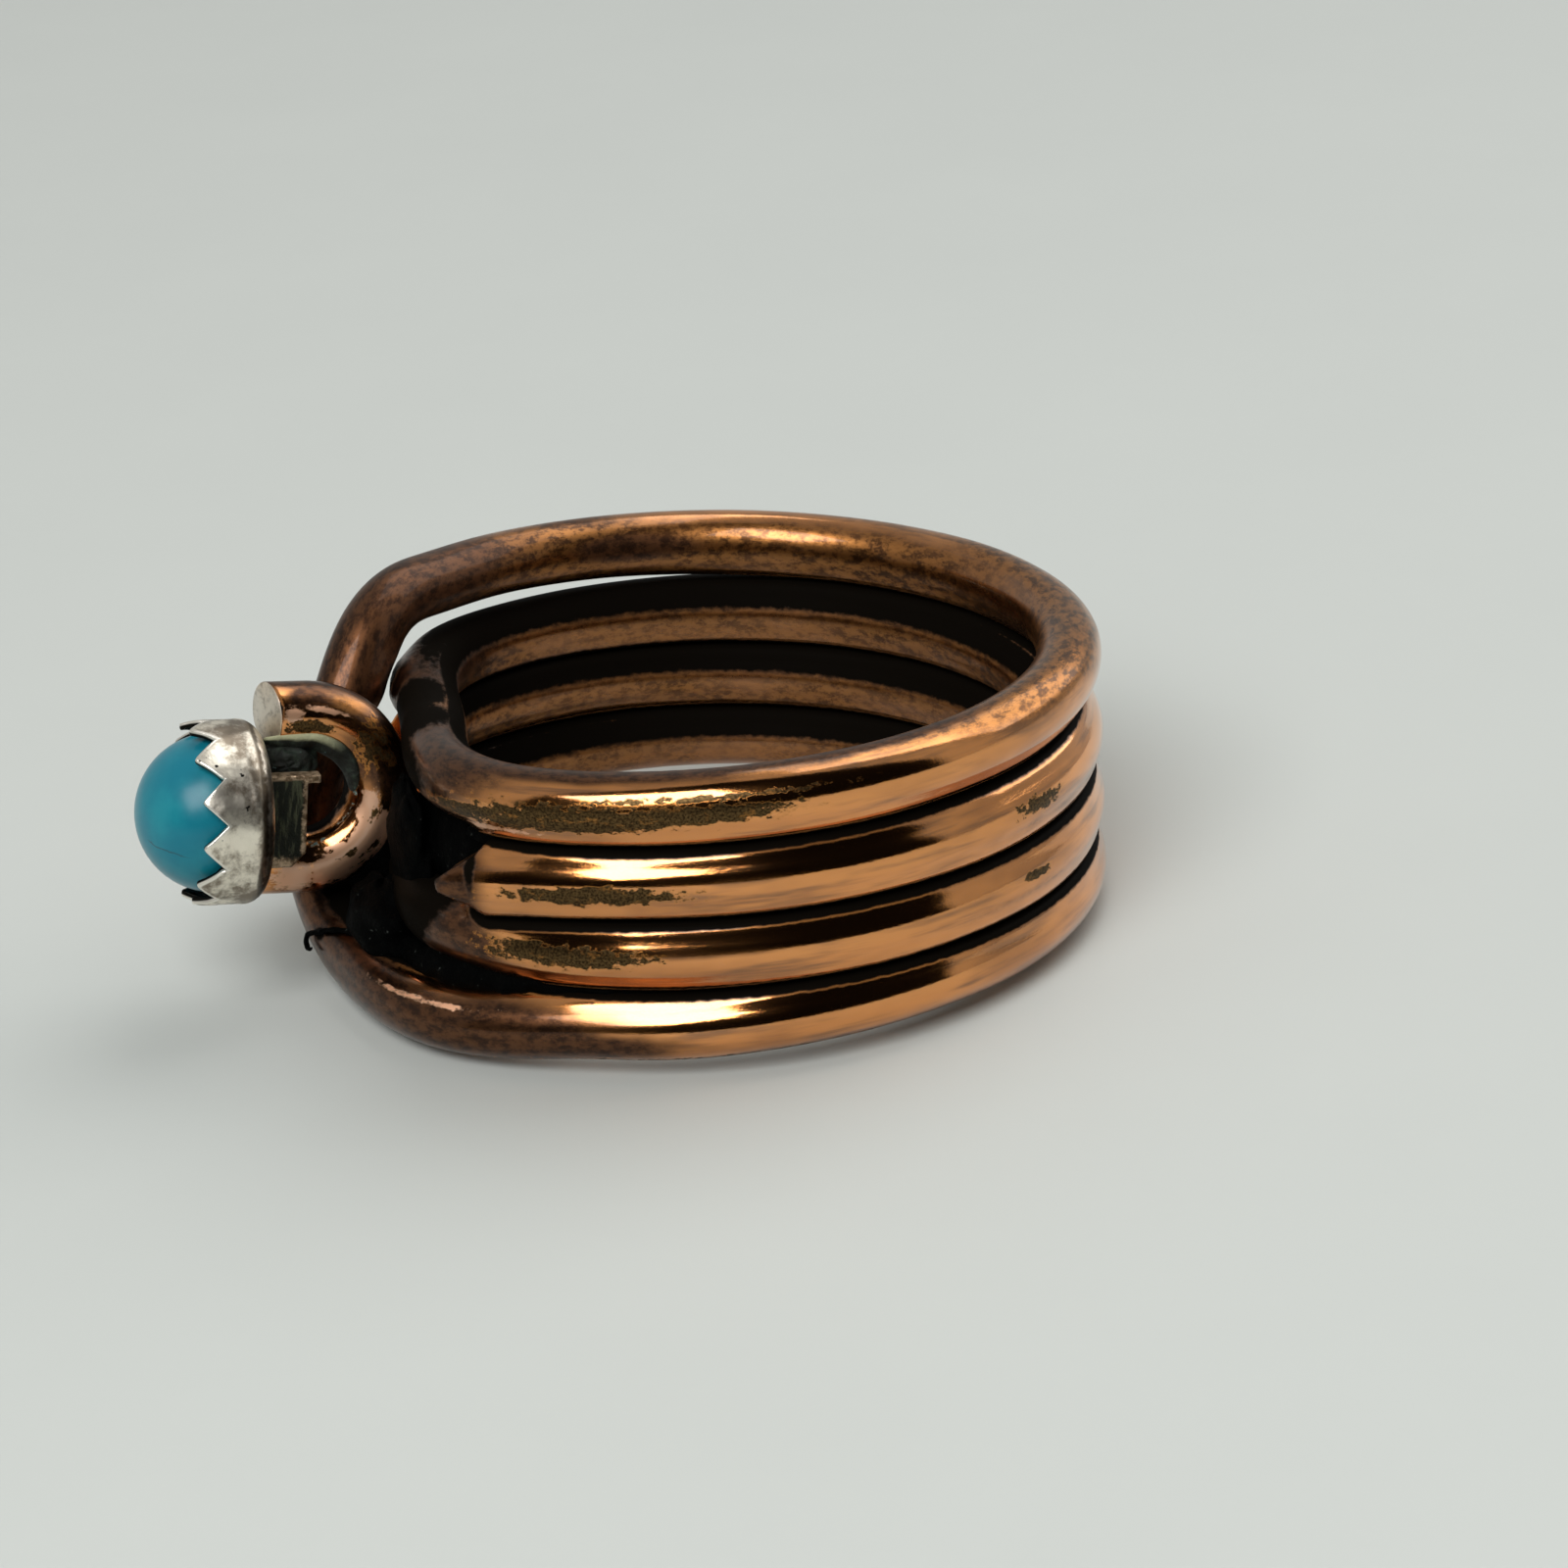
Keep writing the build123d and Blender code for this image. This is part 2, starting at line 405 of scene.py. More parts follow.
line = np.concatenate([
    wire_line[0] - behind[:, None] * tangent[0],
    wire_line,
    wire_line[-1] + reach[:, None] * tangent[-1],
])
out, up = (np.pad(way, ((tip_rows, len(reach)), (0, 0)), mode="edge") for way in (out, up))
along = np.concatenate([-behind, wire_along, wire_along[-1] + reach])
half_height = np.full(len(line), wire_diameter)
half_height[:tip_rows] = tip_height
shrink = np.ones(len(line))
shrink[0], shrink[-2:] = tip_size, closing

radius = drawn_wire(along, shrink, 5)
across = radius * np.cos(around)
rise = np.clip(radius * np.sin(around), -half_height[:, None], half_height[:, None])
bare_grid = tube_grid(line, out, up, across, rise)
print("grid of the coil:", bare_grid.shape[:2])

# %% [markdown]
# ## Naming places on the wire
#
# Stains, dirt, soot, painted shade and painted highlights all lie in particular places on the
# wire. A place is named by the turn angle along the wire and the angle round it, and a patch is
# a soft hill of value 1 there. The materials break the hills' edges up with noise later, so the
# hills can stay simple.

# %% Places on the wire
with_poles = [0, -1]


def turn_angles(points):
    """The turn angle of points beside the axis, unwound along the wire from its near end."""
    angle = np.unwrap(np.arctan2(points[:, 0], -points[:, 1]))
    return np.degrees(angle) + middle_turn * full_turn


def hills(rows, lengths, angle):
    """Patches by length along a piece and angle round it: the highest of exp(-(length away /
    half length)^2 - (angle away / half width)^2) times the strength."""
    value = np.zeros((len(lengths), len(angle)))
    for centre, side, half_length, half_width, strength in rows:
        angle_away = nearest(np.degrees(angle) - side, full_turn)
        length_part = ((lengths - centre) / half_length)[:, None] ** 2
        value = np.maximum(value, strength * np.exp(-length_part - (angle_away / half_width) ** 2))
    return value


def patches(rows):
    """Hills on the coil, whose rows start with a turn angle in degrees in place of a length."""
    by_length = np.array(rows, float)
    by_length[:, 0] = np.radians(by_length[:, 0]) * coil_radius
    return hills(by_length, np.radians(coil_turn) * coil_radius, around)


def all_points(values):
    """Grid values as one list, with the two poles given the value of their own end."""
    return np.concatenate([values.ravel(), values[with_poles].mean(axis=1)])


def run_of(along, across, rise):
    """Each point's own length along a wire, and how far out and up it lies from the middle."""
    run = np.stack([along[:, None] + 0 * across, across, rise], axis=-1)
    return np.concatenate([run.reshape(-1, 3), [(along[end], 0, 0) for end in with_poles]])


coil_turn = turn_angles(line)
print("turns from", coil_turn[0].round(), "to", coil_turn[-1].round(), "degrees")

# %% [markdown]
# ## Dirt and painted shade between the strands
#
# Where two strands lie a hair apart, the groove between them is in deep shade, and its colour
# is painted black there as painted shade. How deep in a groove a point lies is the distance from
# it to the middle of the nearest other strand, so that distance is worked out for every point.
# Dirt then raises the surface a little, but never by more than a share of the room that is left.

# %% Grooves
own_stretch = 6.0
groove_near = 1.35
groove_far = 1.95
dirt_thick = 0.2
dirt_share = 0.45
block = 60
# turn, angle round the wire, half length in mm, half width in degrees, strength: light shows here
open_rows = [(1375, -100, 7, 70, 1), (1015, 80, 7, 70, 1)]


def other_strand(points, places, line, line_places):
    """The distance from each point of a grid to the nearest point of a line, leaving out the
    line's own stretch beside it. Blocks of rows keep the tables of distances small."""
    squared = np.zeros(points.shape[:2])
    for first in range(0, len(points), block):
        some = points[first:first + block]
        squares = (some**2).sum(-1)[..., None] + (line**2).sum(-1) - 2 * some @ line.T
        own = abs(places[first:first + block, None, None] - line_places) < own_stretch
        squared[first:first + block] = np.where(own, np.inf, squares).min(axis=-1)
    return np.sqrt(np.maximum(squared, 0))


def ease(value, low, high):
    """0 at low, 1 at high, with the cubic 3t^2 - 2t^3 between."""
    share = np.clip((value - low) / (high - low), 0, 1)
    return share * share * (3 - 2 * share)


to_other = other_strand(bare_grid, along, wire_line[::2], wire_along[::2])
groove = ease(to_other, groove_far, groove_near) * (1 - patches(open_rows))
room_left = np.maximum(to_other - wire_radius, 0)
dirt = np.minimum(dirt_thick, dirt_share * room_left) * groove
dirt_grown = 1 + dirt / np.maximum(radius, wire_radius / 2)
coil_grid = tube_grid(line, out, up, across * dirt_grown, rise * dirt_grown)
print("points in a groove:", int((groove > 0.5).sum()), "of", groove.size)

# %% [markdown]
# ## Fire stain, tarnish and painted shade on the coil
#
# The torch left soot near the joint and brown oxide round it, and years of wear left ragged
# tarnish. The black near the joint is partly that soot and partly painted shade, of the deep
# pocket behind the head and of the dark reflections on the strands round it. These could be
# spread at random, but then no stain would lie where the photograph shows it, so each patch is
# a row of its own.

# %% Patches
# turn along the wire, angle round it, half length in mm, half width in degrees, strength
tarnish_rows = [
    (1131, -8, 4, 30, 1), (1113, -16, 1.8, 18, 0.85), (1150, 0, 3, 22, 0.95),
    (774, -9, 3.1, 21, 1), (1850, 4, 2.8, 22, 1), (1843, 20, 1.5, 12, 0.8),
    (1515, -62, 8, 16, 0.62), (846, 8, 1.4, 20, 0.85), (1925, 10, 0.9, 14, 0.75),
    (1150, 26, 6, 10, 0.62),
]
# brown and golden mottling on the strands' tops
mottle_rows = [
    (1114, 60, 1.8, 60, 0.8), (1130, 108, 5, 48, 1.2), (1160, 112, 8, 48, 1.2),
    (1195, 100, 8, 50, 1.2), (1225, 75, 8, 62, 1.1), (1262, 70, 8, 75, 1.1),
    (1300, 60, 7, 60, 0.8), (1335, 175, 7, 40, 0.8), (1370, 150, 8, 90, 0.9),
    (1400, 110, 6, 100, 0.8), (1500, -75, 9, 24, 0.9), (1530, -60, 8, 20, 0.7),
    (860, -30, 9, 18, 0.5), (1930, -20, 9, 18, 0.5),
]
# smooth brown oxide, without a ragged edge
oxide_rows = [
    (1470, -10, 6.5, 90, 1.15), (1494, -22, 3.2, 40, 1), (1447, 0, 5, 110, 1.2),
    (1400, 130, 7, 110, 1), (1422, 20, 5.5, 120, 1.2), (1350, 100, 8, 50, 0.5),
    (1349, 172, 2.4, 30, 1), (1098, 20, 3.6, 140, 1.3), (1180, 100, 12, 35, 0.45),
    (1040, 60, 6, 160, 1.3), (680, 180, 6, 160, 1.3), (1828, 0, 2.4, 100, 1.15),
    (1134, 18, 6, 14, 0.5), (1870, 12, 5, 12, 0.6), (795, 12, 4, 10, 0.5),
    (750, 10, 1.5, 110, 1.2), (1092, 30, 3, 60, 1.2), (1108, 60, 3, 60, 0.9),
    (1132, 86, 6, 34, 1.3), (1172, 92, 7, 28, 1),
]
# pale pink copper, partly rubbed bare and partly a painted highlight on lit edges
bare_and_highlight_rows = [(1465, 44, 3.2, 8, 0.8), (1118, -38, 3, 8, 0.7)]
# the torch's soot near the joint, and painted shade of the deep pocket and the dark reflections
# there: an ellipsoid, in mm, and more patches
soot_and_shade_middle = np.array([0.8, -9.9, 3.4])
soot_and_shade_reach = np.array([4.2, 2.7, 2.6])
soot_and_shade_rows = [
    (1430, 120, 3, 46, 1.3), (1444, 125, 3, 46, 1.3), (1457, 135, 3, 36, 1.1),
    (1070, 40, 2.6, 90, 1.1), (1070, -70, 3.6, 90, 1.3), (985, 100, 15, 52, 1),
    (1434, 30, 0.35, 18, 0.8), (755, 40, 0.22, 70, 0.7), (747.5, 60, 0.9, 90, 0.8),
    (1085, 60, 1.9, 110, 0.75), (1090, 0, 3, 45, 1),
]
# the part of the wire that shows through the loop stayed brown
clean_rows = [(1418.5, 128, 1.5, 60, 1)]
# the top strand starts and ends between these turn angles
top_start = (1130, 1180)
top_end = (1440, 1400)
soot_and_shade_fade = (1.35, 0.75)
mottle_inside = 0.6
groove_low = 0.85
groove_high = 0.22

soot_and_shade_far = np.linalg.norm((bare_grid - soot_and_shade_middle) / soot_and_shade_reach, axis=-1)
soot_and_shade = np.maximum(ease(soot_and_shade_far, *soot_and_shade_fade), patches(soot_and_shade_rows)) * (1 - patches(clean_rows))
# the ring's inner side is made darker, rougher and more mottled. The upper half of each strand
# there, all but the top strand's, faces the dark strand above: it is painted shade, near black
inside = ease(-np.cos(around), 0.1, 0.75)
top_strand = ease(coil_turn, *top_start) * ease(coil_turn, *top_end)
inner_shade = inside * ease(np.sin(around), -0.25, 0.65) * (1 - top_strand[:, None])
# painted shade is laid thicker on the upper half of each strand, under the dark strand above
groove_shade = groove * (groove_low + groove_high * ease(np.sin(around), 0, 0.5))
coil_marks = {name: all_points(values) for name, values in {
    "soot_and_shade": soot_and_shade,
    "tarnish": patches(tarnish_rows),
    "mottle": np.maximum(patches(mottle_rows), mottle_inside * inside),
    "bare_and_highlight": patches(bare_and_highlight_rows),
    "oxide": patches(oxide_rows),
    "inside": inside + 0 * across,
    "inner_shade": inner_shade,
    "groove": groove_shade,
}.items()}
coil_marks["run"] = run_of(along, across, rise)
coil_wire = closed_piece("copper_coil", on_table, coil_grid, line[with_poles], coil_marks)

# %% [markdown]
# ## The loop behind the cup
#
# A short piece of the same wire is bent into a U, and its two legs carry the silver cup. Its
# path is two straight legs and half a circle, in a plane that stands upright in the ring. That
# path has a formula, so no spline is needed.

# %% Head axes
head_lift = 6.5
loop_radius = 2.38
loop_leg = 1.4
loop_offset = -1.85
loop_level = 2.246
loop_clearance = 0.02
loop_height = loop_level * coil_pitch


def bow_reach(strand, dent):
    """How far out the loop's middle lies for its bow to clear one strand: a right triangle
    whose long side is the bow's outer radius plus the strand's."""
    apart = loop_radius + wire_diameter + loop_clearance
    return coil_radius - dent + np.sqrt(apart**2 - (strand * coil_pitch - loop_height) ** 2)


loop_reach = max(bow_reach(middle_turn + 1, upper_dent), bow_reach(middle_turn - 1, lower_dent))
lift = np.radians(head_lift)
# columns: outwards from the ring, up, and to the left
head_axes = np.array([
    (0, 0, -1),
    (-np.cos(lift), np.sin(lift), 0),
    (np.sin(lift), np.cos(lift), 0),
])
head_place = np.array([loop_offset, -loop_reach, loop_height])


def at_head(points):
    """Points in the head's own axes, in mm, taken to the table."""
    return on_table(points @ head_axes.T + head_place)


print("the head's middle is", round(float(loop_reach), 3), "mm from the ring's axis")

# %% Copper loop
loop_step = 0.1
bow_length = np.pi * loop_radius
loop_length = 2 * loop_leg + bow_length
loop_along = np.linspace(0, loop_length, round(loop_length / loop_step) + 1)
bow = np.clip(loop_along - loop_leg, 0, bow_length) / loop_radius
leg = np.maximum(loop_leg - loop_along, 0) + np.maximum(loop_along - loop_leg - bow_length, 0)
loop_line = np.stack([leg - loop_radius * np.sin(bow), loop_radius * np.cos(bow), 0 * bow], axis=-1)
loop_out = np.stack([-np.sin(bow), np.cos(bow), 0 * bow], axis=-1)
loop_tangent = np.stack([-np.cos(bow), -np.sin(bow), 0 * bow], axis=-1)
loop_up = np.cross(loop_out, loop_tangent)

# both ends are sawn square, with the edge just broken over three rows
end_reach = np.array([0, edge_round * 0.4, edge_round])
end_size = np.array([0.93, 0.985, 1.0])
loop_size = np.ones(len(loop_along))
loop_size[:3], loop_size[-3:] = end_size, end_size[::-1]
loop_along[:3], loop_along[-3:] = end_reach, loop_length - end_reach[::-1]
loop_line[:3] = loop_line[0] + end_reach[:, None] * loop_tangent[0]
loop_line[-3:] = loop_line[-1] - end_reach[::-1, None] * loop_tangent[-1]

loop_thick = drawn_wire(loop_along, loop_size, 8)
loop_across, loop_rise = loop_thick * np.cos(around), loop_thick * np.sin(around)
loop_grid = tube_grid(loop_line, loop_out, loop_up, loop_across, loop_rise)
# the upper leg was snipped off at a slant, so it is shorter on the side of the tab
slant = 0.5
slant_fade = 2.2
slant_power = 1.5
side_share = (1 - loop_rise / wire_radius) / 2
cut_back = slant * side_share * np.clip(1 - loop_along / slant_fade, 0, 1)[:, None] ** slant_power
loop_grid = loop_grid + cut_back[..., None] * loop_tangent[:, None]
loop_poles = np.array([loop_grid[0].mean(axis=0), loop_line[-1]])
print("the slanted end is cut back by up to", cut_back.max().round(2), "mm")

# %% Marks on the loop
# length along it in mm, angle round it, half length in mm, half width in degrees, strength
loop_rows = {
    "tarnish": [
        (1.2, -97, 1.3, 15, 1), (3.6, -80, 0.9, 60, 0.6), (5.9, -100, 0.5, 16, 0.6),
        (6.9, -66, 0.9, 18, 0.62), (7.4, -92, 0.8, 12, 0.55),
    ],
    "mottle": [(2.6, -40, 1.6, 50, 0.8), (5, -50, 1.5, 60, 0.8), (9.6, -60, 0.6, 60, 0.7)],
    "oxide": [
        (3.9, -50, 1.5, 110, 1.1), (5.4, -18, 1.9, 58, 1.1), (7, -6, 1.9, 40, 1),
        (8.8, 0, 1.6, 50, 0.8), (3, 120, 4, 90, 0.8), (1.5, 10, 2.4, 60, 1.1),
        (1.2, -40, 1.1, 30, 1),
    ],
    # pale pink: partly worn copper, partly painted highlight on the bow's top and lower right
    "bare_and_highlight": [
        (0.6, -75, 0.5, 20, 1), (1.7, -66, 1, 9, 0.8), (5.7, -114, 0.9, 22, 1.1),
        (6.7, -82, 1.1, 40, 1.3), (7.8, -82, 1.2, 42, 1.2), (9.2, -76, 1.1, 46, 0.9),
    ],
    "verdigris": [
        (3.4, -142, 0.9, 14, 1), (4.6, -143, 1, 12, 0.9), (6.4, -146, 1, 10, 0.7),
        (8.2, -138, 0.9, 12, 0.6),
    ],
    "soot_and_shade": [
        (4, 180, 4, 30, 0.8), (5.5, 40, 2.6, 30, 1), (8, 172, 2, 34, 0.9),
        (1.2, 180, 1.4, 36, 1), (8.9, 20, 1.6, 40, 0.9), (0.14, -60, 0.12, 46, 0.9),
    ],
}
loop_marks = {name: all_points(hills(rows, loop_along, around)) for name, rows in loop_rows.items()}
cut_face = 0 * loop_across
cut_face[:2] = 1
loop_marks["cut"] = all_points(cut_face)
loop_marks["run"] = run_of(loop_along, loop_across, loop_rise)
head_loop = closed_piece("copper_loop", at_head, loop_grid, loop_poles, loop_marks)

# %% [markdown]
# ## The silver cup
#
# The cup is a strip of sheet silver soldered round a plate. Its top is filed into twelve teeth,
# which are then rubbed down over the stone's girdle. A lathe profile makes the plate and the
# wall, and the rim isn't level: at each angle the profile ends at the height of the teeth
# there. The teeth are filed by eye, so each one has its own length.

# %% Cup profile
cup_offset = 0.87
cup_drop = 0.41
stone_diameter = 4.9
stone_radius = stone_diameter / 2
stone_straight = 1.0
stone_clearance = 0.05
cup_wall = 0.34
cup_plate = 0.35
cup_shoulder = 0.7
tooth_count = 12
tooth_turn = 10.0
tooth_length = 0.7
tooth_land = 0.1
tooth_uneven = 0.12
cup_lip = 0.92
seat_clearance = 0.05

cup_inner = stone_radius + stone_clearance
cup_outer = cup_inner + cup_wall
stone_base = cup_plate + stone_clearance
dome_level = stone_base + stone_straight
rim_level = dome_level + cup_lip
cup_shift = np.array([loop_leg + seat_clearance, -cup_drop, -cup_offset])

cup_angle = circle(720)
tooth_pitch = 2 * np.pi / tooth_count
past_notch = cup_angle - np.radians(tooth_turn)
tooth_number = np.floor(past_notch / tooth_pitch).astype(int) % tooth_count
chance = np.random.default_rng(12)
tooth_cut = chance.uniform(0, tooth_uneven, tooth_count)[tooth_number]
notch_half = np.pi * cup_outer / tooth_count - tooth_land / 2
flank = abs(nearest(past_notch, tooth_pitch)) * cup_outer / notch_half
# a soft minimum rounds each tooth's point
softness = 24.0
rim = rim_level - tooth_cut - tooth_length * np.log1p(np.exp(softness * (1 - flank))) / softness
print("rim between", rim.min().round(2), "and", rim.max().round(2), "mm above the plate's back")

# %% Silver cup
rim_round = 0.04
tooth_flare = 0.07
tooth_thick = 0.2
pole_ring = 0.2
hammer_depth = 0.012
shoulder_rows = 12


def on_lathe(level, size, angle):
    """Points of a turned shape: level along the axis, size away from it, angle round it."""
    return np.stack([level + 0 * angle, size * np.cos(angle), size * np.sin(angle)], axis=-1)


def part_way(start, stop, count):
    """Even steps from start to stop, without the stop, with a column for each angle."""
    share = np.linspace(0, 1, count, endpoint=False)[:, None]
    return start + share * (stop - start) + 0 * cup_angle


def outer_size(level):
    """The wall's outer radius over the girdle: a circle's arc, flared out towards the tips."""
    above_girdle = level - dome_level
    return np.sqrt(cup_outer**2 - above_girdle**2) + tooth_flare * above_girdle / cup_lip


def inner_size(level):
    """The outer radius less the wall, which is filed thinner towards the tips."""
    thinned = ease(level, dome_level, dome_level + cup_lip / 2) * (cup_wall - tooth_thick)
    return outer_size(level) - cup_wall + thinned


quarter = np.linspace(0, np.pi / 2, shoulder_rows, endpoint=False)[:, None] + 0 * cup_angle
over = np.linspace(0, np.pi, 9)[1:-1][:, None] + 0 * cup_angle
outer_teeth, inner_teeth = part_way(dome_level, rim, 22), part_way(rim, dome_level, 10)
rim_outer, rim_inner = outer_size(rim), inner_size(rim)
shoulder_size = cup_outer - cup_shoulder

# the levels and sizes of each part, from the plate's back round to its front
profile = {
    "back": (part_way(0, 0, 4), part_way(pole_ring, shoulder_size, 4)),
    "shoulder": (cup_shoulder * (1 - np.cos(quarter)),
                 shoulder_size + cup_shoulder * np.sin(quarter)),
    "wall": (part_way(cup_shoulder, dome_level, 8), part_way(cup_outer, cup_outer, 8)),
    "outside of the teeth": (outer_teeth, outer_size(outer_teeth)),
    "rim": (rim + rim_round * np.sin(over),
            (rim_outer + rim_inner) / 2 + (rim_outer - rim_inner) / 2 * np.cos(over)),
    "inside of the teeth": (inner_teeth, inner_size(inner_teeth)),
    "inner wall": (part_way(dome_level, cup_plate, 4), part_way(cup_inner, cup_inner, 4)),
    "seat": (part_way(cup_plate, cup_plate, 4), part_way(cup_inner, pole_ring, 4)),
}
levels, sizes = (np.concatenate(part) for part in zip(*profile.values()))
hammered = hammer_depth * wavering(levels * 1.5, 2 * cup_angle, 3)
sizes = sizes + np.where(levels > cup_shoulder, hammered - hammer_depth, 0)
cup_grid = on_lathe(levels, sizes, cup_angle) + cup_shift
cup_poles = np.array([(0, 0, 0), (cup_plate, 0, 0)]) + cup_shift
# the stone hides all rows from the middle of the rim on; they are painted nearly black, as
# painted shade under the stone's edge
hidden_rows = sum(len(profile[part][0]) for part in ("inside of the teeth", "inner wall", "seat"))
stone_shade = np.zeros(levels.shape)
stone_shade[-hidden_rows - len(over) // 2 - 1:] = 1
silver_cup = closed_piece("silver_cup", at_head, cup_grid, cup_poles, {
    "level": np.concatenate([levels.ravel(), [0, cup_plate]]),
    "below_rim": np.concatenate([(rim - levels).ravel(), [rim_level, rim_level]]),
    "stone_shade": all_points(stone_shade),
})

# %% [markdown]
# ## The tab
#
# A small upright tab stands on the back of the cup's plate, beside the loop, with a lip at its
# top and a pointed foot. It is an outline with some thickness. From a point high up in the
# tab, the whole outline can be seen, so drawing the outline in towards that point makes both
# flat faces and the broken edges.

# %% Silver tab
tab_offset = 0.35
tab_thick = 0.45
tab_reach = 1.3
tab_height = 2.95
tab_drop = 0.15
tab_point = 0.45
tab_lip = 0.4
lip_height = 0.25
tab_step = 0.03

tab_top = tab_height / 2
corners = np.array([
    (cup_plate / 2, tab_top), (-tab_reach - tab_lip, tab_top),
    (-tab_reach - tab_lip, tab_top - lip_height), (-tab_reach, tab_top - lip_height),
    (-tab_reach, tab_point - tab_top), (tab_point - tab_reach, -tab_top),
    (cup_plate / 2, -tab_top),
])


def outline_points(corners, step):
    """A closed outline read at even steps, each point then averaged with its neighbours so that
    the corners are slightly rounded."""
    closed = np.concatenate([corners, corners[:1]])
    place = lengths_along(closed)
    even = np.linspace(0, place[-1], round(place[-1] / step), endpoint=False)
    points = read_at(even, place, closed)
    return (np.roll(points, 1, axis=0) + points + np.roll(points, -1, axis=0)) / 3


outline = outline_points(corners, tab_step)
tab_middle = np.array([-tab_reach / 2, tab_top - lip_height / 2])
# how far the outline is drawn in, and how deep it lies, from the front face to the back one
draw_in = np.array([0.5, 0.95, 0.98, 1.0, 1.0, 0.98, 0.95, 0.5])
depth = np.array([0, 0, 0.01, 0.05, tab_thick - 0.05, tab_thick - 0.01, tab_thick, tab_thick])
flat = tab_middle + draw_in[:, None, None] * (outline - tab_middle)
tab_grid = np.concatenate([flat, 0 * flat[..., :1] - depth[:, None, None]], axis=-1)
tab_shift = cup_shift + np.array([0, -tab_drop, -tab_offset])
tab_poles = np.array([(*tab_middle, 0), (*tab_middle, -tab_thick)])
silver_tab = closed_piece("silver_tab", at_head, tab_grid + tab_shift, tab_poles + tab_shift,
                          {"place": np.concatenate([tab_grid.reshape(-1, 3), tab_poles])})

# %% [markdown]
# ## The stone
#
# A cabochon is ground, not cut: a flat base, a short straight girdle and a high dome. The dome
# here is half a sphere. Polishing by hand leaves it very slightly uneven, which keeps its
# highlight from being a perfect circle.

# %% Turquoise
dome_rows = 90
girdle_rows = 8
stone_waver = 0.002
base_ring = 0.3
base_round = 0.02
dome_flat = 0.012
stone_angle = circle(200)
dome = np.linspace(0, np.pi / 2, dome_rows, endpoint=False)
dome_high = stone_radius - dome_flat
stone_levels = np.concatenate([
    [stone_base, stone_base],
    np.linspace(stone_base, dome_level, girdle_rows, endpoint=False),
    dome_level + dome_high * np.sin(dome),
])[:, None]
stone_sizes = np.concatenate([
    [base_ring, stone_radius - base_round],
    np.full(girdle_rows, stone_radius),
    stone_radius * np.cos(dome),
])[:, None]
uneven = 1 - stone_waver + stone_waver * wavering(stone_levels, stone_angle, 6)
stone_grid = on_lathe(stone_levels, stone_sizes * uneven, stone_angle)
stone_poles = np.array([(stone_base, 0, 0), (dome_level + dome_high, 0, 0)])
stone = closed_piece("turquoise_cabochon", at_head, stone_grid + cup_shift, stone_poles + cup_shift,
                     {"place": np.concatenate([stone_grid.reshape(-1, 3), stone_poles])})

# %% [markdown]
# ## Burnt flux and painted shade behind the loop
#
# The joint was made with a torch. What is left of it is a black, glassy crust of burnt flux and
# soot that fills the pocket behind the loop and runs on between the strands, as solder does. The
# same black crust also serves as painted shade: it fills the deep shade of the pocket and the
# gaps, so no pale floor shows through them. It could be sculpted by hand, but a ribbon carried
# between the middles of two strands lies exactly where the gap is: its height reaches a little
# way into both strands, and it thins out at both ends. Three lumps fill the pocket itself, its
# wall and its back.

# %% Crust between strands
crust_step = 0.12
crust_round = 40
crust_bite = 0.28
crust_tip = 0.04
crust_waver = 0.5
crust_ripple = 0.2


def strand_at(turns):
    """Points on the wire's middle line at turn angles."""
    return read_at(turns, coil_turn, line)


def crust_band(name, taken_to, middle, tall_way, wide_way, tall, wide, seed):
    """An ellipse carried along a line: `tall` and `wide` along two directions, both falling to
    nothing at the ends as the square root of a sine. Its width has lumps and finer ripples."""
    size = np.sqrt(np.sin(np.linspace(crust_tip, np.pi - crust_tip, len(middle))))[:, None]
    place = lengths_along(middle)[:, None]
    angle = circle(crust_round)
    lumps = 1 + crust_waver * wavering(place * 4, angle, seed)
    lumps = lumps + crust_ripple * wavering(place * 9, angle, seed + 1)
    high = np.reshape(tall, (-1, 1)) * np.cos(angle) * size
    across = wide * np.sin(angle) * size * lumps
    return closed_piece(name, taken_to, tube_grid(middle, tall_way, wide_way, high, across),
                        middle[with_poles], {
        "edge": np.concatenate([(np.cos(angle) + 0 * size).ravel(), [0, 0]]),
        "length": all_points(place + 0 * angle),
    })


def crust_ribbon(name, lower_from, upper_from, first, last, thick, inwards, seed):
    """A band midway between two strands, half their distance less the wire tall, plus the bite.
    inwards shifts it towards the ring's axis."""
    count = round(np.radians(last - first) * coil_radius / crust_step)
    turns = np.linspace(first, last, count)
    low, high = strand_at(lower_from + turns), strand_at(upper_from + turns)
    middle = (low + high) / 2
    middle = middle - inwards * unit(middle * [1, 1, 0])
    rising = unit(high - low)
    through = unit(np.cross(rising, np.gradient(middle, axis=0)))
    tall = np.linalg.norm(high - low, axis=-1) / 2 - wire_radius + crust_bite
    return crust_band(name, on_table, middle, rising, through, tall, thick, seed)


# turn of the strand below and of the one above, first and last turn past them, thickness in
# mm, shift inwards in mm, seed
flux_and_shade_fill = [crust_ribbon(*row) for row in (
    ("flux_and_shade_fill_low", 1440, 1800, 2, 70, 0.42, 0, 21),
    ("flux_and_shade_fill_high", 1800, 1080, -30, 34, 0.5, 0.3, 22),
    ("flux_and_shade_fill_side", 720, 1080, 30.5, 64, 0.3, 0.1, 23),
)]

# %% Crust in lumps
pole_gap = 0.03
lump_rows = 70
lump_columns = 90
lump_waver = 0.2


